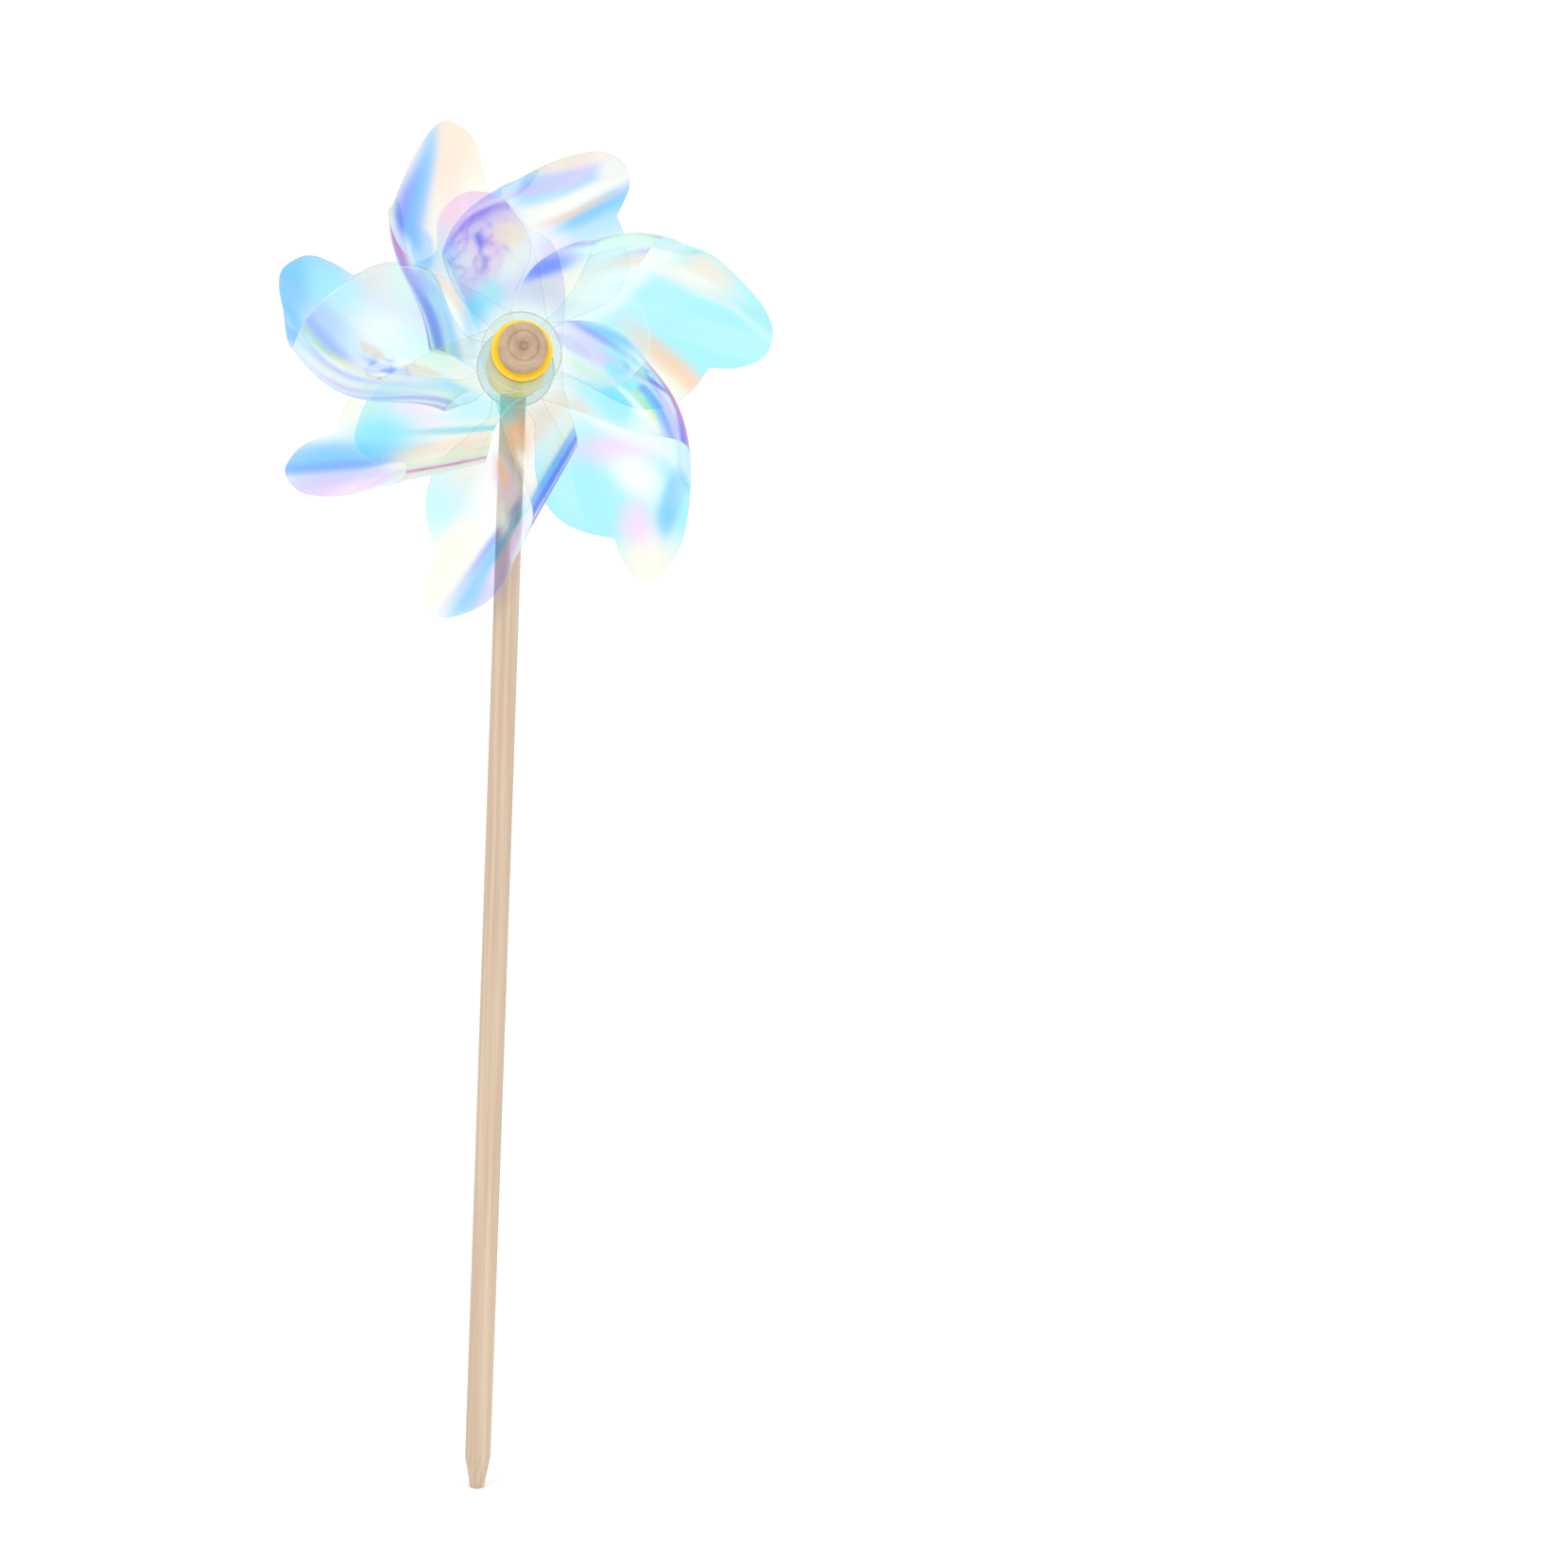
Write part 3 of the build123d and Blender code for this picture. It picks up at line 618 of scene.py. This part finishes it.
def film_object(sheet, name):
    """The curled sheet as an object, meshed flat inside its outline and then rolled up."""
    loop = sheet.outline()
    band = inset(loop, EDGE_BAND)
    centres = [(0.0, 0.0), (0.0, sheet.total)]
    holes = [circle(centre, TAB_HOLE_R, HOLE_POINTS) for centre in centres]
    flat = [Vector(p) for p in loop + band + holes[0] + holes[1] + grid_points(band, centres)]
    edges = []
    start = len(loop)
    for ring in (band, *holes):
        edges += [(start + i, start + (i + 1) % len(ring)) for i in range(len(ring))]
        start += len(ring)
    flat, _, faces, _, _, _ = geometry.delaunay_2d_cdt(
        flat, edges, [list(range(len(loop)))], 1, 1e-6, False
    )
    middles = np.array([np.mean([flat[i] for i in face], axis=0) for face in faces])
    filled = inside(middles, loop)
    for centre in centres:
        filled &= np.hypot(*(middles - centre).T) > TAB_HOLE_R * 0.995
    kept = [face for face, keep in zip(faces, filled) if keep]
    mesh = bpy.data.meshes.new(name)
    mesh.from_pydata([sheet.point(p.x, p.y) for p in flat], [], kept)
    tints = [paint(sheet, p.x, p.y) for p in flat]
    edges_lit = [1.0 if i < len(loop) else 0.0 for i in range(len(flat))]
    mesh.attributes.new("tint", "FLOAT_COLOR", "POINT")
    mesh.attributes["tint"].data.foreach_set("color", np.array(tints).ravel())
    mesh.attributes.new("flat", "FLOAT_VECTOR", "POINT")
    mesh.attributes["flat"].data.foreach_set(
        "vector", np.array([(p.x, p.y, 7.0 * sheet.index) for p in flat]).ravel()
    )
    mesh.attributes.new("edge", "FLOAT", "POINT")
    mesh.attributes["edge"].data.foreach_set("value", np.array(edges_lit))
    mesh.polygons.foreach_set("use_smooth", [True] * len(mesh.polygons))
    mesh.update()
    blade = bpy.data.objects.new(name, mesh)
    bpy.context.scene.collection.objects.link(blade)
    skin = blade.modifiers.new("thickness", "SOLIDIFY")
    skin.thickness = FILM_SKIN * MM
    skin.offset = 0.0
    return blade


# Materials

def new_material(name):
    material = bpy.data.materials.new(name)
    material.use_nodes = True
    nodes = material.node_tree.nodes
    nodes.clear()
    return material, nodes, material.node_tree.links


def add(nodes, kind, **values):
    """A node with its properties and inputs set by name."""
    node = nodes.new(kind)
    for name, value in values.items():
        label = name.replace("_", " ")
        if label in node.inputs:
            node.inputs[label].default_value = value
        else:
            setattr(node, name, value)
    return node


def ramp(nodes, stops):
    node = nodes.new("ShaderNodeValToRGB")
    elements = node.color_ramp.elements
    while len(elements) < len(stops):
        elements.new(0.5)
    for element, (position, colour) in zip(elements, stops):
        element.position = position
        element.color = (*colour, 1.0)
    return node


def noise_node(nodes, links, coordinates, stretch, scale, detail=4.0):
    """Noise on object coordinates scaled by stretch."""
    mapping = add(nodes, "ShaderNodeMapping")
    mapping.inputs["Scale"].default_value = stretch
    links.new(coordinates, mapping.inputs["Vector"])
    texture = add(nodes, "ShaderNodeTexNoise", Scale=scale, Detail=detail)
    links.new(mapping.outputs["Vector"], texture.inputs["Vector"])
    return texture.outputs["Fac"]


def film_material():
    """Clear film that tints what is seen through it, under a faint glossy skin of its own colour."""
    material, nodes, links = new_material("iridescent_film")
    tint = add(nodes, "ShaderNodeAttribute", attribute_name="tint")
    edge = add(nodes, "ShaderNodeAttribute", attribute_name="edge")
    flat = add(nodes, "ShaderNodeAttribute", attribute_name="flat").outputs["Vector"]
    drift = noise_node(nodes, links, flat, (0.012, 0.06, 1.0), 1.0, 3.0)
    shimmer = ramp(nodes, [
        (0.25, COLOURS["cream"]), (0.40, COLOURS["white"]), (0.52, COLOURS["aqua"]),
        (0.60, COLOURS["sky"]), (0.72, COLOURS["lilac"]), (0.85, COLOURS["pink"]),
    ])
    links.new(drift, shimmer.inputs["Fac"])
    colour = add(nodes, "ShaderNodeMix", data_type="RGBA")
    share = add(
        nodes, "ShaderNodeMapRange",
        From_Min=TAB_COVER, From_Max=BODY_COVER, To_Min=TAB_SHIMMER_SHARE, To_Max=SHIMMER_SHARE,
    )
    links.new(tint.outputs["Alpha"], share.inputs["Value"])
    links.new(share.outputs["Result"], colour.inputs[0])
    links.new(tint.outputs["Color"], colour.inputs[6])
    links.new(shimmer.outputs["Color"], colour.inputs[7])
    clear = nodes.new("ShaderNodeBsdfTransparent")
    per_skin = add(nodes, "ShaderNodeGamma", Gamma=0.5)
    links.new(colour.outputs[2], per_skin.inputs["Color"])
    links.new(per_skin.outputs["Color"], clear.inputs["Color"])
    body = add(nodes, "ShaderNodeBsdfPrincipled", Roughness=0.16, IOR=1.45)
    body.inputs["Thin Film Thickness"].default_value = 420.0
    body.inputs["Thin Film IOR"].default_value = 1.7
    links.new(colour.outputs[2], body.inputs["Base Color"])
    gloss = add(nodes, "ShaderNodeFresnel", IOR=1.35)
    cover = add(nodes, "ShaderNodeMath", operation="MULTIPLY_ADD")
    links.new(gloss.outputs["Fac"], cover.inputs[0])
    cover.inputs[1].default_value = GLOSS_SHARE
    links.new(tint.outputs["Alpha"], cover.inputs[2])
    rim = add(nodes, "ShaderNodeMath", operation="MULTIPLY_ADD", use_clamp=True)
    links.new(edge.outputs["Fac"], rim.inputs[0])
    rim.inputs[1].default_value = RIM_COVER
    links.new(cover.outputs[0], rim.inputs[2])
    mix = nodes.new("ShaderNodeMixShader")
    links.new(rim.outputs[0], mix.inputs["Fac"])
    links.new(clear.outputs[0], mix.inputs[1])
    links.new(body.outputs[0], mix.inputs[2])
    out = nodes.new("ShaderNodeOutputMaterial")
    links.new(mix.outputs[0], out.inputs["Surface"])
    return material


def solid_material(name, stops, stretch, scale, roughness, bump, **principled):
    """An opaque material whose colour follows stretched noise, with a fine bump of the same grain."""
    material, nodes, links = new_material(name)
    place = nodes.new("ShaderNodeTexCoord").outputs["Object"]
    grain = noise_node(nodes, links, place, stretch, scale, 6.0)
    colours = ramp(nodes, stops)
    links.new(grain, colours.inputs["Fac"])
    surface = add(nodes, "ShaderNodeBsdfPrincipled", Roughness=roughness, **principled)
    links.new(colours.outputs["Color"], surface.inputs["Base Color"])
    relief = add(nodes, "ShaderNodeBump", Strength=bump, Distance=0.0002)
    links.new(grain, relief.inputs["Height"])
    links.new(relief.outputs["Normal"], surface.inputs["Normal"])
    out = nodes.new("ShaderNodeOutputMaterial")
    links.new(surface.outputs[0], out.inputs["Surface"])
    return material


def end_grain_material(name, light, dark):
    """Wood with growth rings round the axle and a darker heart."""
    material, nodes, links = new_material(name)
    place = nodes.new("ShaderNodeTexCoord").outputs["Object"]
    centred = add(nodes, "ShaderNodeMapping")
    centred.inputs["Location"].default_value = (0.0006, 0.0, -AXLE_Z * MM - 0.0008)
    links.new(place, centred.inputs["Vector"])
    rings = add(
        nodes, "ShaderNodeTexWave", wave_type="RINGS", rings_direction="Y",
        Scale=260.0, Distortion=5.0, Detail=3.0, Detail_Scale=1.5,
    )
    links.new(centred.outputs["Vector"], rings.inputs["Vector"])
    blotches = noise_node(nodes, links, place, (1.0, 1.0, 1.0), 260.0, 5.0)
    radius = add(nodes, "ShaderNodeVectorMath", operation="LENGTH")
    flattened = add(nodes, "ShaderNodeVectorMath", operation="MULTIPLY")
    flattened.inputs[1].default_value = (1.0, 0.0, 1.0)
    links.new(centred.outputs["Vector"], flattened.inputs[0])
    links.new(flattened.outputs["Vector"], radius.inputs[0])
    heart = add(nodes, "ShaderNodeMapRange", From_Min=0.0005, From_Max=0.0035, To_Min=0.35, To_Max=0.0)
    links.new(radius.outputs["Value"], heart.inputs["Value"])
    shade = add(nodes, "ShaderNodeMath", operation="MULTIPLY_ADD")
    links.new(rings.outputs["Fac"], shade.inputs[0])
    shade.inputs[1].default_value = 0.07
    links.new(blotches, shade.inputs[2])
    darker = add(nodes, "ShaderNodeMath", operation="ADD")
    links.new(shade.outputs[0], darker.inputs[0])
    links.new(heart.outputs["Result"], darker.inputs[1])
    colours = ramp(nodes, [(0.35, light), (0.95, dark)])
    links.new(darker.outputs[0], colours.inputs["Fac"])
    surface = add(nodes, "ShaderNodeBsdfPrincipled", Roughness=0.6)
    links.new(colours.outputs["Color"], surface.inputs["Base Color"])
    relief = add(nodes, "ShaderNodeBump", Strength=0.3, Distance=0.0002)
    links.new(darker.outputs[0], relief.inputs["Height"])
    links.new(relief.outputs["Normal"], surface.inputs["Normal"])
    out = nodes.new("ShaderNodeOutputMaterial")
    links.new(surface.outputs[0], out.inputs["Surface"])
    return material


def make_camera():
    """A level camera, turned about its own line of sight by its roll."""
    yaw = math.radians(CAMERA_YAW)
    roll = math.radians(CAMERA_ROLL)
    forward = Vector((math.sin(yaw), math.cos(yaw), 0.0))
    level = Vector((math.cos(yaw), -math.sin(yaw), 0.0))
    right = level * math.cos(roll) - Vector((0.0, 0.0, math.sin(roll)))
    up = level * math.sin(roll) + Vector((0.0, 0.0, math.cos(roll)))
    lens = bpy.data.cameras.new("camera")
    lens.lens = LENS
    lens.sensor_width = SENSOR
    camera = bpy.data.objects.new("camera", lens)
    turned = Matrix((right, up, -forward)).transposed().to_4x4()
    camera.matrix_world = Matrix.Translation(CAMERA_PLACE) @ turned
    bpy.context.scene.collection.objects.link(camera)
    bpy.context.scene.camera = camera


def area_light(name, place, target, size, power):
    lamp = bpy.data.lights.new(name, "AREA")
    lamp.size = size
    lamp.energy = power
    light = bpy.data.objects.new(name, lamp)
    light.location = place
    aim = (Vector(target) - Vector(place)).to_track_quat("-Z", "Y")
    light.rotation_euler = aim.to_euler()
    bpy.context.scene.collection.objects.link(light)


def make_studio():
    world = bpy.data.worlds.new("studio")
    world.use_nodes = True
    background = world.node_tree.nodes["Background"]
    background.inputs["Color"].default_value = (1.0, 1.0, 1.0, 1.0)
    background.inputs["Strength"].default_value = WORLD_STRENGTH
    bpy.context.scene.world = world
    bpy.context.scene.view_settings.view_transform = "Standard"
    bpy.context.scene.cycles.transparent_max_bounces = SKINS_SEEN
    area_light("key", (-0.8, -1.1, 1.2), (0.0, 0.0, 0.35), 0.8, KEY_POWER)
    area_light("fill", (1.1, -0.9, 0.6), (0.0, 0.0, 0.35), 0.8, FILL_POWER)
    mesh = bpy.data.meshes.new("floor")
    half = FLOOR_SIZE / 2
    corners = [(-half, -half, 0.0), (half, -half, 0.0), (half, half, 0.0), (-half, half, 0.0)]
    mesh.from_pydata(corners, [], [(0, 1, 2, 3)])
    floor = bpy.data.objects.new("floor", mesh)
    floor.location.z = -0.0002
    bpy.context.scene.collection.objects.link(floor)
    floor.data.materials.append(solid_material(
        "floor", [(0.4, (0.95, 0.95, 0.95)), (0.6, (0.97, 0.97, 0.97))], (1.0, 1.0, 1.0), 3.0, 0.9, 0.0
    ))


def paint_node(frame, node, material):
    """Give a CAD piece its material."""
    part = frame["nodes"][node]
    part.data.materials.clear()
    part.data.materials.append(material)


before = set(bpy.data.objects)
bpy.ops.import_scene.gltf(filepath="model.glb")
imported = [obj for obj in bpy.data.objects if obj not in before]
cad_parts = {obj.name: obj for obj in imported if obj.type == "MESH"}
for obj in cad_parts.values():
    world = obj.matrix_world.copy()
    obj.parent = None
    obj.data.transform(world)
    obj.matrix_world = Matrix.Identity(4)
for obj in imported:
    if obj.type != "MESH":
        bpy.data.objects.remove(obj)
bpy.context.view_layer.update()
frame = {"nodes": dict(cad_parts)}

film = film_material()
for number, data in enumerate(BLADES):
    node_name = f"blade_{number + 1}"
    blade_object = film_object(Sheet(data, number), f"film_{number + 1}")
    blade_object.data.materials.append(film)
    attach(blade_object, "wheel")
    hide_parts(node_name)

wood = solid_material(
    "birch", [(0.35, (0.50, 0.37, 0.255)), (0.65, (0.61, 0.48, 0.355))], (60.0, 60.0, 1.0), 10.0, 0.6, 0.15
)
end_grain = end_grain_material("birch_end_grain", (0.52, 0.375, 0.255), (0.30, 0.185, 0.11))
yellow = solid_material(
    "yellow_plastic", [(0.3, (0.90, 0.55, 0.0)), (0.7, (0.98, 0.64, 0.01))], (1.0, 1.0, 1.0), 60.0, 0.3, 0.05
)
pale = solid_material(
    "washer", [(0.3, (0.80, 0.76, 0.66)), (0.7, (0.86, 0.83, 0.74))], (1.0, 1.0, 1.0), 80.0, 0.5, 0.05
)
for node_name, material in (
    ("stick", wood), ("axle_peg", end_grain), ("spacer_washer", pale),
    ("hub_tube", yellow), ("rear_collar", yellow), ("front_collar", yellow),
):
    paint_node(frame, node_name, material)

make_studio()
make_camera()
